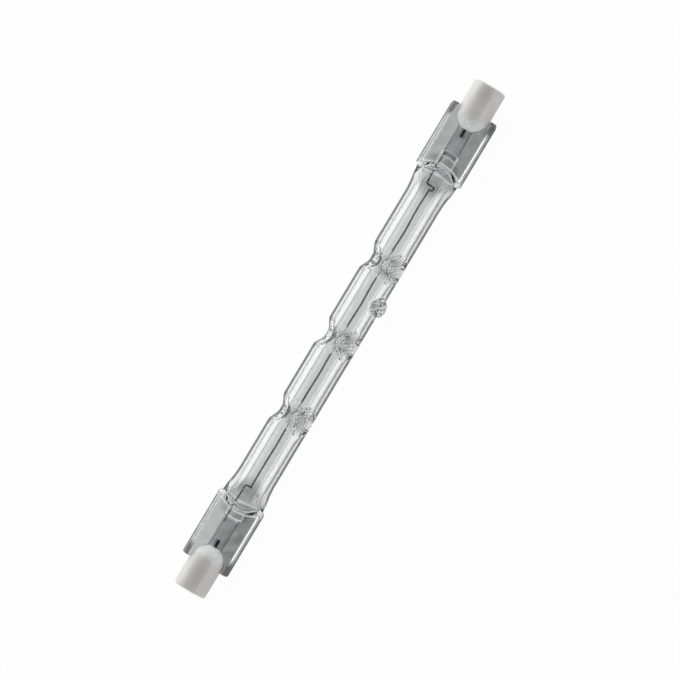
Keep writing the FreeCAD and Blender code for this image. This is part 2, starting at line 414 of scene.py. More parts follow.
SEAL_SECTION = seal_section()


def seal_outline(share):
    """Point of the section at a share of its corners, counted from the side (0) to the web (1)."""
    marks = np.linspace(0, 1, len(SEAL_SECTION))
    return np.interp(share, marks, SEAL_SECTION[:, 0]), np.interp(share, marks, SEAL_SECTION[:, 1])


print("quarter of a seal:", len(SEAL_SECTION), "points")

# %% Grid of the outer skin
RING_POINTS = 176
RING_STEPS = dict(plain=0.7, fine=0.14, finest=0.07)

ring_x = ring_places(SEAL_END, **RING_STEPS)[:, None]
ring_far = np.abs(ring_x)
ring_angle = (np.arange(RING_POINTS) * 2 * np.pi / RING_POINTS)[None, :]


def outer_ripples(*waves):
    """Seeded waves over the whole outer skin."""
    return ripples(ring_x, ring_angle, TUBE_RADIUS, *waves)


def along(rise, fall):
    """1 on a stretch of both halves of the lamp, with soft ends."""
    return smooth_step(*rise, ring_far) * fade(*fall, ring_far)


def by_side(left, right):
    """One value for the left half of the lamp and one for the right."""
    return np.where(ring_x > 0, right, left)


print("outer skin:", len(ring_x), "rings of", RING_POINTS)

# %% Dented tube and exhaust tip
OUTER_DENT = dict(nearest=2.55, floor_length=2.0, ramp_length=1.9, tool_radius=12.0, edge=0.25)
DENT_FULL = 1.35
DENT_WAVES = (0.6, 1.4, 16)
PLAIN_RIPPLE = 0.012
DENT_RIPPLE = 0.05
TIP_RADIUS = 2.0
TIP_LOBES = [(3, 0.07, 0.6), (5, 0.05, 2.0)]
TIP_ROUND = 2.6
TIP_STEEP = 0.6
TIP_HEIGHT = 1.62
TIP_LUMP = 0.07
TIP_WAVES = (0.6, 1.3, 12)
TIP_HIGHEST = 1.73

tube = tube_radius_at(ring_x, ring_angle, TUBE_RADIUS, **OUTER_DENT)
pressed = np.clip((TUBE_RADIUS - tube) / DENT_FULL, 0, 1)
hollow = (PLAIN_RIPPLE + DENT_RIPPLE * pressed) * near_waist(ring_x)
tube = tube - hollow * (1 + outer_ripples(*DENT_WAVES))

tip_along = ring_x - TIP_PLACE
tip_around = TUBE_RADIUS * turned_from(ring_angle, TIP_TURN)
tip_way = np.arctan2(tip_around, tip_along)
tip_foot = 1
for count, depth, start in TIP_LOBES:
    tip_foot = tip_foot + depth * np.sin(count * tip_way + start)
tip_far = np.hypot(tip_along, tip_around) / (TIP_RADIUS * tip_foot)
tip = np.clip(1 - np.clip(tip_far, 0, 1) ** TIP_ROUND, 0, 1) ** TIP_STEEP
tube = tube + tip * np.clip(TIP_HEIGHT + TIP_LUMP * outer_ripples(*TIP_WAVES), 0, TIP_HIGHEST)
print("tube radius:", round(tube.min(), 2), "to", round(tube.max(), 2), "mm")

# %% Shoulders, domes and seals
FLARE_RADIUS = 5.0
DOME_EDGE = 0.8
DOME_HALF_WIDTH = 4.95
DOME_BLEND = 0.45
PAD_SIDES = (1.5, 1.95)
PAD_END = (42.2, 42.34)
PAD_HEIGHT = 0.15
MOTTLE = 0.002
MOTTLE_WAVES = (0.9, 2.2, 12)
NEARLY_ZERO = 1e-9

towards_seal = np.clip((ring_far - SHOULDER_START) / (DOME_END - SHOULDER_START), 0, 1)
flare = 1 + (FLARE_RADIUS / TUBE_RADIUS - 1) * towards_seal ** 2
flat = (DOME_EDGE + (TUBE_RADIUS - DOME_EDGE) * np.sqrt(1 - towards_seal ** 3)) / TUBE_RADIUS
oval_y = tube * flare * np.cos(ring_angle)
oval_z = tube * flat * np.sin(ring_angle)

quarter = np.abs((ring_angle / (np.pi / 2)) % 2 - 1)
seal_y, seal_z = seal_outline(1 - quarter)
seal_y = seal_y * np.where(np.cos(ring_angle) >= 0, 1, -1)
dome = TUBE_RADIUS * flat * np.sqrt(np.clip(1 - (seal_y / DOME_HALF_WIDTH) ** 2, 0, 1))
pad = fade(*PAD_SIDES, np.abs(seal_y)) * fade(*PAD_END, ring_far)
seal_z = seal_z + PAD_HEIGHT * pad
dome_foot = np.clip(0.5 + 0.5 * (seal_z - dome) / DOME_BLEND, 0, 1)
seal_z = smooth_max(seal_z, dome, DOME_BLEND) + MOTTLE * outer_ripples(*MOTTLE_WAVES)
seal_z = seal_z * np.where(np.sin(ring_angle) >= 0, 1, -1)
seal_z = np.where(np.abs(np.sin(ring_angle)) < NEARLY_ZERO, 0, seal_z)
print("web:", 2 * WEB_HALF_HEIGHT, "mm thick, with pads", PAD_HEIGHT, "mm high")

# %% Pinched ends
PINCH = (36.5, 40.6)
WIDENINGS = [(0.5, WIDER_FROM, 38.8), (0.65, 39.0, 40.5)]
BOW_RISE = (34.0, 39.0)
BOW_FALL = (41.5, 48.0)
BOW_DEPTH = 1.6
BOW_HALF_WIDTH = 4.6
END_ROUND = 0.5

pinched = smooth_step(*PINCH, ring_far)
skin_y = oval_y + (seal_y - oval_y) * pinched
half_width = TUBE_RADIUS
for more, start, end in WIDENINGS:
    half_width = half_width + more * smooth_step(start, end, ring_far)
widest = np.abs(skin_y).max(axis=1, keepdims=True)
skin_y = skin_y * np.where(ring_far > WIDER_FROM, half_width / widest, 1.0)
skin_z = oval_z + (seal_z - oval_z) * pinched
skin_x = ring_x - np.sign(ring_x) * BOW_DEPTH * (skin_y / BOW_HALF_WIDTH) ** 2 * along(BOW_RISE, BOW_FALL)
past = np.clip((ring_far - SEAL_END + END_ROUND) / END_ROUND, 0, 1)
inset = END_ROUND * (1 - np.sqrt(1 - past ** 2))
skin_y = skin_y * (1 - inset / SEAL_HALF_WIDTH)
skin_z = skin_z * (1 - inset / RIM_HALF_HEIGHT)
outer_rings = np.stack([skin_x, skin_y, skin_z], axis=2)
print("widest across the seals:", round(2 * skin_y.max(), 2), "mm")

# %% [markdown]
# The glass gets painted tone, not shape. Three values at each point of the outer skin carry it. The
# first darkens the glass as painted shade, the second makes it white and scattering as painted highlight,
# and plain says how far the painted slant shade of the quartz shows. The two seals differ a little, so
# some values are given for the left end and for the right.

# %% Press marks and dome arcs, clear of the painted shade
PRESS_LINES = {-1: (41.85,), 1: (42.15, 43.30)}
LINE_HALF = 0.13
LINE_SOFT = 0.05
LINE_SIDES = (1.62, 1.82)
BORDER_HALF = (0.06, 0.2)
BORDER_START = (40.4, 40.8)
BORDER_SOFT = 0.1
DOME_ARCS = [(38.75, 39.35), (40.12, 40.62)]
ARC_SOFT = 0.06

across = np.abs(skin_y)
press_line = np.zeros_like(skin_y)
for side, places in PRESS_LINES.items():
    for place in places:
        line = fade(LINE_HALF - LINE_SOFT, LINE_HALF + LINE_SOFT, np.abs(ring_x - side * place))
        press_line = np.maximum(press_line, line * fade(*LINE_SIDES, across))
last_line = by_side(PRESS_LINES[-1][-1], PRESS_LINES[1][-1])
pad_border = fade(*BORDER_HALF, np.abs(across - PAD_HALF)) * smooth_step(*BORDER_START, ring_far)
pad_border = pad_border * fade(0, BORDER_SOFT, ring_far - last_line)
# Where these lines are clear of the painted shade they show lighter, as painted highlights.
lines_clear_of_shade = np.maximum(pad_border, press_line)
for start, end in DOME_ARCS:
    arc = along((start - ARC_SOFT, start + ARC_SOFT), (end - ARC_SOFT, end + ARC_SOFT))
    lines_clear_of_shade = np.maximum(lines_clear_of_shade, arc)
print("points on press marks:", int((lines_clear_of_shade > 0.5).sum()))

# %% Painted shade of the seals and their shoulders
SEAL_SHADE_UPPER = (0.44, 0.56)
SEAL_SHADE_LOWER = (0.79, 0.74)
SEAL_SHADE_TURN = 0.6
SEAL_SHADE_RISE = (37.5, 40.2)
SHOULDER_CORE_SHADE = 0.62
CORE_RISE = (31.8, 35.6)
CORE_FALL = (39.0, 40.2)
CORE_HALF = 1.7
CORE_SPREAD = 0.38
CORE_START = 33.0
CORE_LENGTH = 5
CORE_SOFT = 0.6
CLOUD_DEPTH = 0.10
CLOUD_WAVES = (0.8, 3.0, 14)
SPECK_WAVES = (0.5, 0.9, 14)

clouds = 1 + CLOUD_DEPTH * outer_ripples(*CLOUD_WAVES)
specks = outer_ripples(*SPECK_WAVES)
bowed_far = np.abs(skin_x)
upper = by_side(*SEAL_SHADE_UPPER)
lower = by_side(*SEAL_SHADE_LOWER)
# Painted shade on the seals, darker on their lower half, which lies nearer the floor, and a painted grey core
# in the shoulders.
painted_seal_shade = upper + (lower - upper) * smooth_step(-SEAL_SHADE_TURN, SEAL_SHADE_TURN, -skin_y)
painted_seal_shade = painted_seal_shade * smooth_step(*SEAL_SHADE_RISE, bowed_far)
core_half = CORE_HALF + CORE_SPREAD * np.clip(ring_far - CORE_START, 0, CORE_LENGTH)
in_core = fade(core_half, core_half + CORE_SOFT, across)
painted_seal_shade = np.maximum(painted_seal_shade, SHOULDER_CORE_SHADE * along(CORE_RISE, CORE_FALL) * in_core)
print("haze up to", round(painted_seal_shade.max(), 2))

# %% Painted shade on the rims, foils, dents and tip
RIM_START = (4.0, 4.25)
RIM_SIDE = (4.55, 4.8)
RIM_RISE = (37.8, 39.0)
RIM_END = (49.4, 50.8)
FOIL_START = (41.9, 43.2)
FOIL_SOFT = 0.3
FOIL_SIDES = (1.25, 1.4)
FOIL_EDGE = 1.42
FOIL_EDGE_HALF = (0.08, 0.24)
DENT_SPECKS = (-0.5, 0.3)
TIP_SPECKS = (0.7, 1.1)
MARKS_CLEAR = 0.95
FOIL_CLEAR = 0.72
TIP_PAINTED_SHADE = 0.85
FOIL_EDGE_SHADE = 0.3
RIM_SIDE_SHADE = 0.8
RIM_END_SHADE = 0.9

on_rim = smooth_step(*RIM_START, across)
foil_start = by_side(*FOIL_START)
along_foil = smooth_step(foil_start, foil_start + FOIL_SOFT, ring_far)
over_foil = fade(*FOIL_SIDES, across) * along_foil
foil_edge = fade(*FOIL_EDGE_HALF, np.abs(across - FOIL_EDGE)) * along_foil
rim_side = smooth_step(*RIM_SIDE, across) * smooth_step(*RIM_RISE, bowed_far)
rim_end = on_rim * smooth_step(*RIM_END, ring_far)
# Painted shade: darker sides and ends of the rims, dark lines along the foil's edges, grey specks in the
# dents and dark specks on the tip.
painted_shade = painted_seal_shade * (1 - on_rim) * (1 - MARKS_CLEAR * lines_clear_of_shade) * (1 - FOIL_CLEAR * over_foil) * clouds
painted_shade = np.maximum(painted_shade, pressed * near_waist(ring_x) * smooth_step(*DENT_SPECKS, specks))
painted_shade = np.maximum(painted_shade, TIP_PAINTED_SHADE * tip * smooth_step(*TIP_SPECKS, -specks))
painted_shade = painted_shade + FOIL_EDGE_SHADE * foil_edge + RIM_SIDE_SHADE * rim_side * clouds
outer_painted_shade = np.clip(painted_shade + RIM_END_SHADE * rim_end, 0, 1)
print("smoke on", round(100 * (outer_painted_shade > 0.3).mean()), "% of the points")

# %% Painted highlights, and where the painted slant shade shows
HIGHLIGHT_MOST = 0.9
HIGHLIGHT_LINES_FROM = 42.1
FOOT_FALL = (41.5, 42.5)
FOOT_HIGHLIGHT = 0.6
TIP_HIGHLIGHT_SPECKS = (-0.5, 0.1)
TIP_HIGHLIGHT_LEAST = 0.25
TIP_HIGHLIGHT_MORE = 0.65
SHOULDER_HIGHLIGHT = 0.6
WAIST_HIGHLIGHT = 0.25
SHOULDER_RISE = (36.0, 36.8)
SHOULDER_FALL = (38.2, 38.9)
LOWER_SIDE_REACH = (3.1, 3.7)
DOME_RISE = (35.5, 37.5)
WEB_RISE = (40.8, 41.4)
TIP_OUTSIDE = (1.0, 1.3)
TIP_SLANT_SHADE_SHARE = 0.1
DOME_HIDES = 0.75
WEB_HIDES = 0.6
MARKS_HIDE = 0.9

# Painted highlights in white: arcs at the foot of the domes, the press lines, the tip, and the lower side of
# the shoulders and waists.
foot_line = 4 * dome_foot * (1 - dome_foot) * pinched * fade(*FOOT_FALL, ring_far)
tip_highlight = tip * (TIP_HIGHLIGHT_LEAST + TIP_HIGHLIGHT_MORE * smooth_step(*TIP_HIGHLIGHT_SPECKS, specks))
on_shoulder = along(SHOULDER_RISE, SHOULDER_FALL)
lower_side_highlight = np.maximum(SHOULDER_HIGHLIGHT * on_shoulder, WAIST_HIGHLIGHT * near_waist(ring_x))
lower_side_highlight = lower_side_highlight * smooth_step(*LOWER_SIDE_REACH, -skin_y)
line_highlight = HIGHLIGHT_MOST * press_line * (ring_far > HIGHLIGHT_LINES_FROM)
outer_painted_highlight = np.clip(line_highlight + FOOT_HIGHLIGHT * foot_line + tip_highlight + lower_side_highlight, 0, HIGHLIGHT_MOST)

# The plain mark says how far the painted slant shade of the quartz shows: less on the tip, the domes, the
# web, the press lines and over the foil.
on_web = smooth_step(*WEB_RISE, ring_far) * (1 - on_rim)
outer_slant_shade_share = TIP_SLANT_SHADE_SHARE + (1 - TIP_SLANT_SHADE_SHARE) * smooth_step(*TIP_OUTSIDE, tip_far)
outer_slant_shade_share = outer_slant_shade_share * (1 - DOME_HIDES * along(DOME_RISE, WEB_RISE)) * (1 - WEB_HIDES * on_web)
outer_slant_shade_share = outer_slant_shade_share * (1 - MARKS_HIDE * np.maximum(press_line, over_foil))
print("frost on", round(100 * (outer_painted_highlight > 0.3).mean(), 1), "% of the points")

# %% Gas space inside the envelope
BORE_POINTS = 72
BORE_STEPS = dict(plain=1.0, fine=0.18, finest=0.3)
INNER_DENT = dict(nearest=1.0, floor_length=1.6, ramp_length=2.6, tool_radius=3.4, edge=0.4)
BORE_RIPPLE = 0.03
BORE_WAVES = (0.7, 1.5, 12)
BORE_FLARE = 0.1
BORE_LEAST = 0.06
BORE_BOW_START = 33.0
BORE_BOW_DEPTH = 1.3
BORE_BOW_HALF = 3.4
TIP_BORE_RADIUS = 1.1
TIP_BORE_DEPTH = 0.9


def inner_skin():
    """Rings of the gas space, closing to a flat arched end at both seals."""
    x = ring_places(CAVITY_END, **BORE_STEPS)[:, None]
    angle = (np.arange(BORE_POINTS) * 2 * np.pi / BORE_POINTS)[None, :]
    radius = tube_radius_at(x, angle, BORE_RADIUS, **INNER_DENT)
    radius = radius + BORE_RIPPLE * near_waist(x) * ripples(x, angle, BORE_RADIUS, *BORE_WAVES)
    far = np.hypot(x - TIP_PLACE, BORE_RADIUS * turned_from(angle, TIP_TURN)) / TIP_BORE_RADIUS
    radius = radius + TIP_BORE_DEPTH * fade(0, 1, far)
    share = np.clip((np.abs(x) - SHOULDER_START) / (CAVITY_END - SHOULDER_START), 0, 1)
    y = radius * (1 + BORE_FLARE * share ** 2) * np.cos(angle)
    z = radius * (BORE_LEAST + (1 - BORE_LEAST) * np.sqrt(1 - share ** 3)) * np.sin(angle)
    bow = BORE_BOW_DEPTH * (y / BORE_BOW_HALF) ** 2
    bow = bow * smooth_step(BORE_BOW_START, CAVITY_END, np.abs(x))
    return np.stack([x - np.sign(x) * bow, y, z], axis=2)


inner_rings = inner_skin()
print("gas space:", inner_rings.shape[0], "rings of", inner_rings.shape[1])

# %% Faces of the two nets
def net_faces(rings, first, outward):
    """Faces of a closed net of rings, with its two ends closed across from upper to lower half."""
    count, around = rings.shape[:2]
    faces = []
    for i in range(count - 1):
        for j in range(around):
            k = (j + 1) % around
            faces.append((i * around + j, i * around + k, (i + 1) * around + k, (i + 1) * around + j))
    for start, flip in ((0, False), ((count - 1) * around, True)):
        for j in range(around // 2):
            corners = [start + j, start + (around - j) % around, start + around - j - 1, start + j + 1]
            corners = list(dict.fromkeys(corners))
            faces.append(tuple(reversed(corners)) if flip else tuple(corners))
    step = 1 if outward else -1
    return [tuple(first + index for index in face[::step]) for face in faces]


outer_points = outer_rings.reshape(-1, 3)
inner_points = inner_rings.reshape(-1, 3)
envelope_faces = net_faces(outer_rings, 0, True) + net_faces(inner_rings, len(outer_points), False)
print("envelope:", len(envelope_faces), "faces")

# %% [markdown]
# Fused quartz is clear and fire polished, so its real look is refraction. Two things are added to the
# plain glass. Layer Weight paints shade by the slant of both skins: a painted grey core where the wall
# is seen straight on, painted dark edges and two fine painted dark lines of the wall. The marks of
# the mesh add painted shade and painted highlights. Shadow rays pass straight through, because the
# lights would otherwise find no way into the glass.

# %% Quartz
QUARTZ_IOR = 1.458
SLANT_CORE_SHADE = 0.62
SLANT_EDGE_SHADE = 0.02
SLANT_BORE_LINE_SHADE = 0.08
SHADOW_PASS = 0.86
CLEAR_TONE = "#FCFDFD"
PAINTED_SHADE_TONE = "#747676"
# Painted shade by slant: a grey core seen straight on, dark edges, a dark line of the bore and two dark lines
# of the wall.
PAINTED_SLANT_SHADE = {"core": (0.10, 0.13, SLANT_CORE_SHADE, 1.0),
               "edge": (0.40, 0.60, 1.0, SLANT_EDGE_SHADE),
               "bore": (0.38, 0.66, 1.0, SLANT_BORE_LINE_SHADE)}
PAINTED_WALL_LINES = [(0.085, 0.125, 0.35), (0.33, 0.41, 0.25)]


def quartz_material():
    """Refracting glass, with shade painted by its slant and by the marks of the mesh."""
    material, tree = new_material("fused_quartz_fire_polished")
    marks = {name: add_node(tree, "ShaderNodeAttribute", attribute_name=name).outputs["Fac"]
             for name in ("painted_shade", "bore", "plain", "painted_highlight")}
    slant = add_node(tree, "ShaderNodeLayerWeight", {"Blend": 0.5}).outputs["Facing"]
    ramps = {}
    for name, (low, high, start, end) in PAINTED_SLANT_SHADE.items():
        ramps[name] = add_node(tree, "ShaderNodeMapRange", {0: slant, 1: low, 2: high, 3: start, 4: end},
                               interpolation_type="SMOOTHSTEP")
    outer = add_node(tree, "ShaderNodeMath", {0: ramps["core"], 1: ramps["edge"]}, operation="MULTIPLY")
    for low, high, depth in PAINTED_WALL_LINES:
        middle = (low + high) / 2
        falling = add_node(tree, "ShaderNodeMapRange", {0: slant, 1: low, 2: middle, 3: 1.0, 4: depth})
        rising = add_node(tree, "ShaderNodeMapRange", {0: slant, 1: middle, 2: high, 3: depth, 4: 1.0})
        line = add_node(tree, "ShaderNodeMath", {0: falling, 1: rising}, operation="MAXIMUM")
        outer = add_node(tree, "ShaderNodeMath", {0: outer, 1: line}, operation="MULTIPLY")
    skin = add_node(tree, "ShaderNodeMix", {0: marks["bore"], 2: outer, 3: ramps["bore"]})
    side = add_node(tree, "ShaderNodeNewGeometry")
    entered = add_node(tree, "ShaderNodeMath", {0: marks["plain"], 1: side.outputs["Backfacing"]},
                       operation="SUBTRACT", use_clamp=True)
    shade = add_node(tree, "ShaderNodeMix", {0: entered, 2: 1.0, 3: skin})
    tint = add_node(tree, "ShaderNodeMix", {0: marks["painted_shade"], 6: hex_colour(CLEAR_TONE),
                                            7: hex_colour(PAINTED_SHADE_TONE)}, data_type="RGBA")
    colour = add_node(tree, "ShaderNodeVectorMath", {0: tint.outputs[2], 3: shade}, operation="SCALE")
    clear = add_node(tree, "ShaderNodeMath", {0: 1.0, 1: marks["painted_highlight"]}, operation="SUBTRACT")
    glass = add_node(tree, "ShaderNodeBsdfPrincipled", {
        "Base Color": colour, "Roughness": 0.0, "IOR": QUARTZ_IOR, "Transmission Weight": clear})
    path = add_node(tree, "ShaderNodeLightPath")
    through = add_node(tree, "ShaderNodeBsdfTransparent", {"Color": (SHADOW_PASS,) * 3 + (1,)})
    mix = add_node(tree, "ShaderNodeMixShader", {0: path.outputs["Is Shadow Ray"], 1: glass, 2: through})
    add_node(tree, "ShaderNodeOutputMaterial", {"Surface": mix})
    return material


# Fused quartz, fire polished: clear and very smooth, with painted shade at its core, its edges and the pinch.
quartz = quartz_material()
print(quartz.name, "has", len(quartz.node_tree.nodes), "nodes")

# %% Envelope as one closed mesh
def build_envelope():
    """The two nets as one piece, inside the CAD piece's box, with the marks of the outer skin."""
    points = lay_down(np.concatenate([outer_points, inner_points]))
    low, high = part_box("quartz_envelope")
    points = np.clip(points, np.array(low), np.array(high))
    piece = new_piece("clear_quartz_envelope", points, envelope_faces, quartz)
    bore_zero = np.zeros(len(inner_points))
    bore_one = np.ones(len(inner_points))
    marks = {"painted_shade": (outer_painted_shade.ravel(), bore_zero), "bore": (np.zeros(len(outer_points)), bore_one),
             "plain": (outer_slant_shade_share.ravel(), bore_one), "painted_highlight": (outer_painted_highlight.ravel(), bore_zero)}
    for name, values in marks.items():
        mark = piece.data.attributes.new(name, "FLOAT", "POINT")
        mark.data.foreach_set("value", np.concatenate(values).astype(np.float32))
    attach(piece, "root")
    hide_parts("quartz_envelope")
    return piece


envelope = build_envelope()
print("envelope:", sum(len(face.vertices) - 2 for face in envelope.data.polygons), "triangles")

# %% [markdown]
# Drawn and rolled metals get their look from fine lines along the direction of working. One noise,
# stretched along the lamp, gives those lines to colour and a faint bump, and broad blotches change
# colour and gloss. Every scale is worked out from a size in millimetres, because Object coordinates
# are in metres.

# %% Metals
PLAIN_DETAIL = 3.0
FINE_DETAIL = 4.0
TONE_RANGE = (0.7, 1.3)
GLOSS_RANGE = (0.3, 0.7)
METAL_SPREAD = 0.08
LINE_BUMP = 0.25
LINE_RELIEF = 0.02


def per_metre(size_mm):
    """Texture scale of a pattern whose grains are that many millimetres across."""
    return 1 / (size_mm * MM)


def lined_metal(name, dark, light, line_mm, stretch, roughness, blotch_mm):
    """A metal with lines along the lamp, uneven gloss and broad faint blotches."""
    material, tree = new_material(name)
    place = add_node(tree, "ShaderNodeTexCoord").outputs["Object"]
    stretched = add_node(tree, "ShaderNodeMapping", {"Vector": place, "Scale": (1 / stretch, 1, 1)})
    lines = add_node(tree, "ShaderNodeTexNoise", {
        "Vector": stretched, "Scale": per_metre(line_mm), "Detail": PLAIN_DETAIL})
    blotches = add_node(tree, "ShaderNodeTexNoise", {
        "Vector": place, "Scale": per_metre(blotch_mm), "Detail": FINE_DETAIL})
    both = add_node(tree, "ShaderNodeMath", {0: lines, 1: blotches}, operation="ADD")
    share = add_node(tree, "ShaderNodeMapRange", {0: both, 1: TONE_RANGE[0], 2: TONE_RANGE[1]})
    colour = add_node(tree, "ShaderNodeMix", {0: share, 6: hex_colour(dark), 7: hex_colour(light)},
                      data_type="RGBA")
    rough = add_node(tree, "ShaderNodeMapRange", {
        0: blotches, 1: GLOSS_RANGE[0], 2: GLOSS_RANGE[1],
        3: roughness - METAL_SPREAD, 4: roughness + METAL_SPREAD})
    bump = add_node(tree, "ShaderNodeBump", {
        "Strength": LINE_BUMP, "Distance": LINE_RELIEF * MM, "Height": lines})
    metal = add_node(tree, "ShaderNodeBsdfPrincipled", {
        "Base Color": colour.outputs[2], "Metallic": 1.0, "Roughness": rough, "Normal": bump})
    add_node(tree, "ShaderNodeOutputMaterial", {"Surface": metal})
    return material


# Tungsten wire, drawn and flashed: nearly black with a soft grey sheen on each turn.
tungsten = lined_metal("tungsten_wire_drawn", "#232325", "#4C4C50",
                       line_mm=0.06, stretch=6, roughness=0.42, blotch_mm=1.5)
# Molybdenum foil, rolled very thin: a pale satin grey with rolling lines.
molybdenum_foil = lined_metal("molybdenum_foil_rolled", "#D2D3D5", "#F6F7F8",
                              line_mm=0.25, stretch=14, roughness=0.78, blotch_mm=2.2)
# Molybdenum wire, drawn: darker than the foil, with a bright line of sheen along it.
molybdenum_wire = lined_metal("molybdenum_wire_drawn", "#7C7C80", "#B4B4B8",
                              line_mm=0.08, stretch=10, roughness=0.30, blotch_mm=1.0)
# Molybdenum wire, oxidised where the seal ends: the same wire, nearly black.
oxidised_wire = lined_metal("molybdenum_wire_oxidised", "#2E2E32", "#56565A",
                            line_mm=0.08, stretch=10, roughness=0.22, blotch_mm=1.0)
# Nickel plate over a pressed button: warm bright grey, with broad blotches of duller gloss.
nickel_plate = lined_metal("nickel_plate_rubbed", "#A8A39A", "#D8D3C8",
                           line_mm=0.12, stretch=1, roughness=0.30, blotch_mm=0.9)

for name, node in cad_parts.items():
    for kind, material in (("seal_foil", molybdenum_foil), ("inner_lead", molybdenum_wire),
                           ("outer_lead", oxidised_wire), ("contact", nickel_plate)):
        if name.startswith(kind):
            node.material_slots[0].material = material
            print(name, "wears", material.name)

# %% [markdown]
# The filament is one tungsten wire, coiled in the four chambers and straight through the waists. A
# coil is a rule along a path, so Geometry Nodes make it: the tree resamples the path, pushes each
# point out sideways by an angle that grows with the distance along the lamp, and runs a round wire
# along the result. An attribute on the path says where the wire is coiled.

# %% Path of the filament
PATH_STEP = 0.25
FILAMENT_END = 34.8
LEG_HALF = 2.8
COIL_OPENING = 0.5
SAG_FIRST = 0.05
SAG_MORE = 0.02
SAG_DOWN = 0.6

ends = [-FILAMENT_END]
for place in WAIST_PLACES:
    ends += [place - LEG_HALF, place + LEG_HALF]
ends.append(FILAMENT_END)
coil_stretches = list(zip(ends[::2], ends[1::2]))


def filament_path():
    """Points of the filament's middle line, and how far each is opened out into the coil."""
    x = np.arange(-FILAMENT_END, FILAMENT_END + PATH_STEP / 2, PATH_STEP)
    coiled = np.zeros_like(x)
    aside = np.zeros_like(x)
    for number, (start, end) in enumerate(coil_stretches):
        opened = smooth_step(start, start + COIL_OPENING, x) * fade(end - COIL_OPENING, end, x)
        coiled = np.maximum(coiled, opened)
        share = np.clip((x - start) / (end - start), 0, 1)
        sag = SAG_FIRST + SAG_MORE * number
        aside = aside + sag * np.sin(2 * np.pi * share + number) * np.sin(np.pi * share)
    return np.stack([x, aside, -SAG_DOWN * np.abs(aside)], axis=1), coiled


path_points, path_coiled = filament_path()
path_mesh = bpy.data.meshes.new("filament_path")
path_mesh.from_pydata([tuple(point) for point in lay_down(path_points)],
                      [(i, i + 1) for i in range(len(path_points) - 1)], [])
path_mesh.attributes.new("coiled", "FLOAT", "POINT").data.foreach_set("value", path_coiled.astype(np.float32))
print("filament path:", len(path_points), "points in", len(coil_stretches), "coiled stretches")

# %% Coil by Geometry Nodes
COIL_PITCH = 0.23
COIL_RADIUS = 0.20
WIRE_RADIUS = 0.055
WIRE_SIDES = 6
TURN_POINTS = 9


def coil_tree():
    """A tree that winds a wire along a path of edges."""
    tree = bpy.data.node_groups.new("filament_coil", "GeometryNodeTree")
    kinds = {"Geometry": "Geometry", "Pitch": "Float", "Coil radius": "Float", "Wire radius": "Float",
             "Points": "Int", "Material": "Material"}
    sockets = {}
    for name, kind in kinds.items():
        socket = tree.interface.new_socket(name=name, in_out="INPUT", socket_type="NodeSocket" + kind)
        sockets[name] = socket.identifier
    tree.interface.new_socket(name="Geometry", in_out="OUTPUT", socket_type="NodeSocketGeometry")
    given = add_node(tree, "NodeGroupInput").outputs
    curve = add_node(tree, "GeometryNodeMeshToCurve", {"Mesh": given["Geometry"]})
    even = add_node(tree, "GeometryNodeResampleCurve", {"Curve": curve, "Count": given["Points"]})
    position = add_node(tree, "GeometryNodeInputPosition")
    here = add_node(tree, "ShaderNodeSeparateXYZ", {0: position})
    turns = add_node(tree, "ShaderNodeMath", {0: here, 1: given["Pitch"]}, operation="DIVIDE")
    angle = add_node(tree, "ShaderNodeMath", {0: turns, 1: 2 * math.pi}, operation="MULTIPLY")
    coiled = add_node(tree, "GeometryNodeInputNamedAttribute", {"Name": "coiled"}, data_type="FLOAT")
    reach = add_node(tree, "ShaderNodeMath", {0: coiled, 1: given["Coil radius"]}, operation="MULTIPLY")
    offsets = []
    for wave, direction in (("COSINE", ACROSS), ("SINE", SQUARE)):
        swing = add_node(tree, "ShaderNodeMath", {0: angle}, operation=wave)
        length = add_node(tree, "ShaderNodeMath", {0: swing, 1: reach}, operation="MULTIPLY")
        offsets.append(add_node(tree, "ShaderNodeVectorMath", {0: direction, 3: length}, operation="SCALE"))
    offset = add_node(tree, "ShaderNodeVectorMath", {0: offsets[0], 1: offsets[1]}, operation="ADD")
    wound = add_node(tree, "GeometryNodeSetPosition", {"Geometry": even, "Offset": offset})
    section = add_node(tree, "GeometryNodeCurvePrimitiveCircle", {
        "Resolution": WIRE_SIDES, "Radius": given["Wire radius"]})
    wire = add_node(tree, "GeometryNodeCurveToMesh", {"Curve": wound, "Profile Curve": section,
                                                      "Fill Caps": True})
    whole = add_node(tree, "GeometryNodeRealizeInstances", {"Geometry": wire})
    dressed = add_node(tree, "GeometryNodeSetMaterial", {"Geometry": whole, "Material": given["Material"]})
    add_node(tree, "NodeGroupOutput", {"Geometry": dressed})
    return tree, sockets


def wind_filament():
    """Runs the tree on the path and keeps its result as a plain mesh."""
    tree, sockets = coil_tree()
    carrier = bpy.data.objects.new("tungsten_filament", path_mesh)
    scene.collection.objects.link(carrier)
    modifier = carrier.modifiers.new("coil", "NODES")
    modifier.node_group = tree
    settings = {"Pitch": COIL_PITCH * MM, "Coil radius": COIL_RADIUS * MM, "Wire radius": WIRE_RADIUS * MM,
                "Points": int(2 * FILAMENT_END / COIL_PITCH * TURN_POINTS), "Material": tungsten}
    for name, value in settings.items():
        modifier[sockets[name]] = value
    seen_now = bpy.context.evaluated_depsgraph_get()
    wound = bpy.data.meshes.new_from_object(carrier.evaluated_get(seen_now), depsgraph=seen_now)
    carrier.modifiers.clear()
    carrier.data = wound
    wound.shade_smooth()
    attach(carrier, "root")
    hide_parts("filament")
    return carrier


filament = wind_filament()
print("filament:", len(filament.data.polygons), "faces,", round(2 * FILAMENT_END, 1), "mm long")

# %% [markdown]
# The caps are pressed and fired steatite, slotted over the seals and set in cement. A cap is turned
# round one axis, so a profile is spun into rings, and a box takes the slot out of it. The nose that
# faces the tube is a soft dome, smeared with cement, so its rings are a little lumpy.

# %% Steatite and cement
PATCH_SHARE = 0.62
CLAY_RANGE = (0.36, 0.60)
CLAY_SPREAD = 0.1
GRAIN_BUMP = 0.6


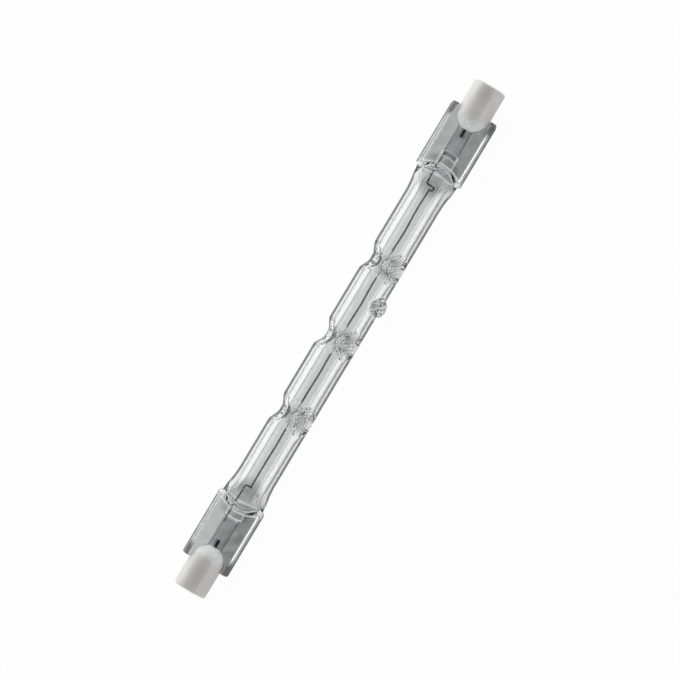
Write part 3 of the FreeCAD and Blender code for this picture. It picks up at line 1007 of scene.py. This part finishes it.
def fired_clay(name, dark, light, smear, grain_mm, patch_mm, roughness, index, relief_mm):
    """A pale fired or set material with fine grain, broad patches of tone and a smear on top."""
    material, tree = new_material(name)
    place = add_node(tree, "ShaderNodeTexCoord").outputs["Object"]
    grain = add_node(tree, "ShaderNodeTexNoise", {
        "Vector": place, "Scale": per_metre(grain_mm), "Detail": FINE_DETAIL})
    patch = add_node(tree, "ShaderNodeTexNoise", {
        "Vector": place, "Scale": per_metre(patch_mm), "Detail": PLAIN_DETAIL})
    mixed = add_node(tree, "ShaderNodeMix", {0: PATCH_SHARE, 2: grain, 3: patch})
    share = add_node(tree, "ShaderNodeMapRange", {0: mixed, 1: CLAY_RANGE[0], 2: CLAY_RANGE[1]})
    colour = add_node(tree, "ShaderNodeMix", {0: share, 6: hex_colour(dark), 7: hex_colour(light)},
                      data_type="RGBA")
    smeared = add_node(tree, "ShaderNodeAttribute", attribute_name="smear")
    colour = add_node(tree, "ShaderNodeMix", {
        0: smeared.outputs["Fac"], 6: colour.outputs[2], 7: hex_colour(smear)}, data_type="RGBA")
    rough = add_node(tree, "ShaderNodeMapRange", {
        0: grain, 1: GLOSS_RANGE[0], 2: GLOSS_RANGE[1],
        3: roughness - CLAY_SPREAD, 4: roughness + CLAY_SPREAD})
    bump = add_node(tree, "ShaderNodeBump", {
        "Strength": GRAIN_BUMP, "Distance": relief_mm * MM, "Height": grain})
    clay = add_node(tree, "ShaderNodeBsdfPrincipled", {
        "Base Color": colour.outputs[2], "Roughness": rough, "IOR": index, "Normal": bump})
    add_node(tree, "ShaderNodeOutputMaterial", {"Surface": clay})
    return material


# Steatite, pressed and fired without glaze: white, fine-grained, with a soft sheen along the barrel.
steatite = fired_clay("steatite_unglazed", "#DEDCD5", "#EBEAE5", "#F6F9F9", grain_mm=0.12, patch_mm=3.2,
                      roughness=0.40, index=1.78, relief_mm=0.006)
# Cap cement, set from a paste: chalky, rough and a little greyer than the cap.
cement = fired_clay("cap_cement_set", "#CFCCC2", "#EFEDE7", "#EEF1F1", grain_mm=0.25, patch_mm=0.9,
                    roughness=0.80, index=1.5, relief_mm=0.05)
print("caps of", steatite.name, "set in", cement.name)

# %% Profile of a cap
CAP_RADIUS = 3.5
CAP_OUTER = 58.8
CAP_INNER = 48.8
CAP_EDGE = 0.45
EDGE_STEPS = 8
BARREL_INSET = (0.4, 0.3)
BARREL_STEPS = 16
NOSE_LENGTH = 2.5
NOSE_RADIUS = 1.35
NOSE_POWER = 1.5
NOSE_STEPS = 16
RECESS_RADIUS = 2.0
RECESS_LIP = 0.2
LIP_STEPS = 6
CONTACT_FACE = 57.1
SEAT_RADIUS = 1.62
SEAT_FLOOR = 56.2


def cap_profile(smaller):
    """Profile from the seat of the contact, over the end and the barrel, to the middle of the nose."""
    points = [(SEAT_FLOOR, SEAT_RADIUS), (CONTACT_FACE, SEAT_RADIUS), (CONTACT_FACE, RECESS_RADIUS)]
    points += [(CAP_OUTER - RECESS_LIP * (1 - math.sin(k)), RECESS_RADIUS + RECESS_LIP * (1 - math.cos(k)))
               for k in np.linspace(0, math.pi / 2, LIP_STEPS)]
    points += [(CAP_OUTER - CAP_EDGE * (1 - math.cos(k)), CAP_RADIUS - CAP_EDGE * (1 - math.sin(k)))
               for k in np.linspace(0, math.pi / 2, EDGE_STEPS)]
    nose_start = CAP_INNER + NOSE_LENGTH
    barrel = (CAP_OUTER - CAP_EDGE - BARREL_INSET[0], nose_start + BARREL_INSET[1])
    points += [(x, CAP_RADIUS) for x in np.linspace(*barrel, BARREL_STEPS)]
    for k in np.linspace(0, math.pi / 2, NOSE_STEPS):
        u = math.sin(k) ** (2 / NOSE_POWER)
        w = math.cos(k) ** (2 / NOSE_POWER)
        points.append((nose_start - NOSE_LENGTH * u, NOSE_RADIUS + (CAP_RADIUS - NOSE_RADIUS) * w))
    return [(x, r - smaller) for x, r in points]


print("profile of a cap:", len(cap_profile(0)), "points")

# %% Spinning a profile and cutting it with a box
CAP_POINTS = 128
NOSE_FADE = (0.8, 1.25)
NOSE_WAVES = (0.7, 1.8, 12)
LUMP_MEAN = 0.7
LUMP_MOST = 2
SMEAR_MEAN = 0.8
SMEAR_SPREAD = 0.35
SLOT_END = 53.0
SLOT_HALF = 1.15
SLOT_MARGIN = 1
WELD = 0.002
SHARP_DEG = 40


def spun(name, profile, side, material, lump):
    """A closed mesh spun from a profile about the lamp's axis, with a lumpy nose."""
    x = np.array([point[0] for point in profile])[:, None]
    r = np.array([point[1] for point in profile])[:, None]
    angle = (np.arange(CAP_POINTS) * 2 * np.pi / CAP_POINTS)[None, :]
    on_nose = fade(*(CAP_INNER + share * NOSE_LENGTH for share in NOSE_FADE), x)
    waves = ripples(side * x, angle, CAP_RADIUS, *NOSE_WAVES)
    r = r - lump * on_nose * np.clip(LUMP_MEAN + LUMP_MEAN * waves, 0, LUMP_MOST)
    rings = np.stack([side * x + 0 * angle, r * np.cos(angle), r * np.sin(angle)], axis=2)
    poles = np.array([[side * profile[0][0], 0, 0], [side * profile[-1][0], 0, 0]])
    last = (len(profile) - 1) * CAP_POINTS
    faces = []
    for j in range(CAP_POINTS):
        k = (j + 1) % CAP_POINTS
        for ring in range(0, last, CAP_POINTS):
            faces.append((ring + j, ring + k, ring + CAP_POINTS + k, ring + CAP_POINTS + j))
        faces.append((last + CAP_POINTS, k, j))
        faces.append((last + CAP_POINTS + 1, last + j, last + k))
    if side > 0:
        faces = [face[::-1] for face in faces]
    points = lay_down(np.concatenate([rings.reshape(-1, 3), poles]))
    piece = new_piece(name, points, faces, material)
    crumbs = np.clip(on_nose * (SMEAR_MEAN + SMEAR_SPREAD * waves), 0, 1) + 0 * angle
    smear = piece.data.attributes.new("smear", "FLOAT", "POINT")
    smear.data.foreach_set("value", np.concatenate([crumbs.ravel(), [0, 1]]).astype(np.float32))
    return piece


def slot_box(side):
    """The space of the slot across the nose."""
    wide = CAP_RADIUS + SLOT_MARGIN
    corners = [(side * x, y, z) for x in (CAP_INNER - SLOT_MARGIN, SLOT_END) for y in (-wide, wide)
               for z in (-SLOT_HALF, SLOT_HALF)]
    faces = [(0, 1, 3, 2), (4, 6, 7, 5), (0, 4, 5, 1), (2, 3, 7, 6), (0, 2, 6, 4), (1, 5, 7, 3)]
    if side < 0:
        faces = [face[::-1] for face in faces]
    return new_piece("slot_box", lay_down(corners), faces, steatite)


def shaped_by(piece, box, operation):
    """Cuts the box out of the piece, or keeps what lies in it, as a plain mesh."""
    cut = piece.modifiers.new("slot", "BOOLEAN")
    cut.object = box
    cut.operation = operation
    cut.solver = "EXACT"
    seen_now = bpy.context.evaluated_depsgraph_get()
    shaped = bpy.data.meshes.new_from_object(piece.evaluated_get(seen_now), depsgraph=seen_now)
    piece.modifiers.clear()
    piece.data = shaped
    joined = bmesh.new()
    joined.from_mesh(shaped)
    bmesh.ops.remove_doubles(joined, verts=joined.verts, dist=WELD * MM)
    bmesh.ops.dissolve_degenerate(joined, edges=joined.edges, dist=WELD * MM)
    bmesh.ops.dissolve_verts(joined, verts=[point for point in joined.verts if len(point.link_edges) == 2])
    joined.to_mesh(shaped)
    joined.free()
    shaped.set_sharp_from_angle(angle=math.radians(SHARP_DEG))
    return piece


print("slot", 2 * SLOT_HALF, "mm wide")

# %% Caps and cement
NOSE_LUMP = 0.09
CEMENT_INSET = 0.06

for side, end in ((-1, "left"), (1, "right")):
    box = slot_box(side)
    cap = spun("steatite_cap_" + end, cap_profile(0), side, steatite, NOSE_LUMP)
    cap = shaped_by(cap, box, "DIFFERENCE")
    paste = spun("cement_fill_" + end, cap_profile(CEMENT_INSET), side, cement, 2 * NOSE_LUMP)
    paste = shaped_by(paste, box, "INTERSECT")
    bpy.data.objects.remove(box)
    for piece, node, slot in ((cap, "ceramic_cap_" + end, "white_steatite"),
                              (paste, "cap_cement_" + end, "cap_cement")):
        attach(piece, "root")
        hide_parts(node)
        print(piece.name, len(piece.data.polygons), "faces")

# %% [markdown]
# The visual model must not outgrow the CAD model, so the envelope is kept inside its CAD piece's box.

# %% Finish
print("the lamp is dressed")
